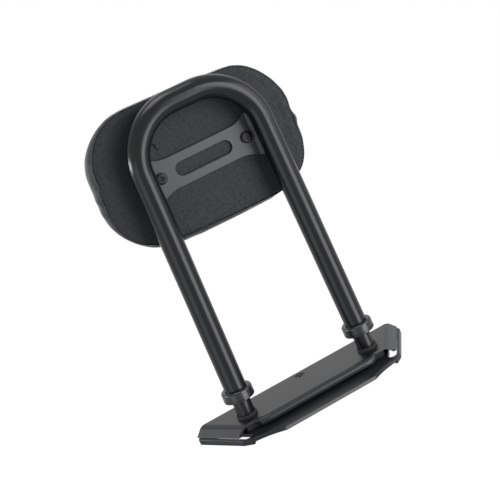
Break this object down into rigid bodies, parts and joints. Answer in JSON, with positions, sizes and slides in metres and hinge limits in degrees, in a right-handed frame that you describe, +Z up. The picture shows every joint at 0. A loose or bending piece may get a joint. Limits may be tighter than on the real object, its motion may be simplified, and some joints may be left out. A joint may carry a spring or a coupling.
{
  "type": "sissy bar",
  "caption": "Motorbike sissy bar: a padded backrest screwed to a bent tube hoop, which is clamped by collars on posts that stand on a tapered base plate.",
  "frame": {"origin": "on the underside of the bottom plate, midway between the posts and below their axes", "axes": "+Z up, +Y forwards, towards the passenger's back and the pad's front, +X to the vehicle's right-hand side seen from behind"},
  "size_m": [0.264, 0.1337, 0.3679],
  "materials": {
    "base_coat": "satin black powder coat",
    "tube_coat": "satin black powder coat",
    "plate_coat": "satin dark grey coat",
    "vinyl": "grained black vinyl",
    "rubber": "matt black",
    "black_screw": "black oxide",
    "zinc": "zinc plated",
    "plywood": "bare plywood",
    "foam": "open-cell foam"
  },
  "bodies": {
    "root": {"bottom_plate": "base_coat", "clamp_nut": "zinc", "clamp_screw": "black_screw", "collar_left": "tube_coat", "collar_right": "tube_coat", "collar_screw_left": "black_screw", "collar_screw_right": "black_screw", "foot_screw_left": "zinc", "foot_screw_right": "zinc", "hoop_tube": "tube_coat", "liner": "rubber", "mount_nut_left": "zinc", "mount_nut_right": "zinc", "pad_back_panel": "vinyl", "pad_board": "plywood", "pad_cover": "vinyl", "pad_foam": "foam", "pad_insert_left": "zinc", "pad_insert_right": "zinc", "pad_plate": "plate_coat", "pad_screw_left": "black_screw", "pad_screw_right": "black_screw", "post_left": "tube_coat", "post_right": "tube_coat", "post_ring_left": "rubber", "post_ring_right": "rubber", "top_plate": "base_coat"}
  },
  "joints": []
}
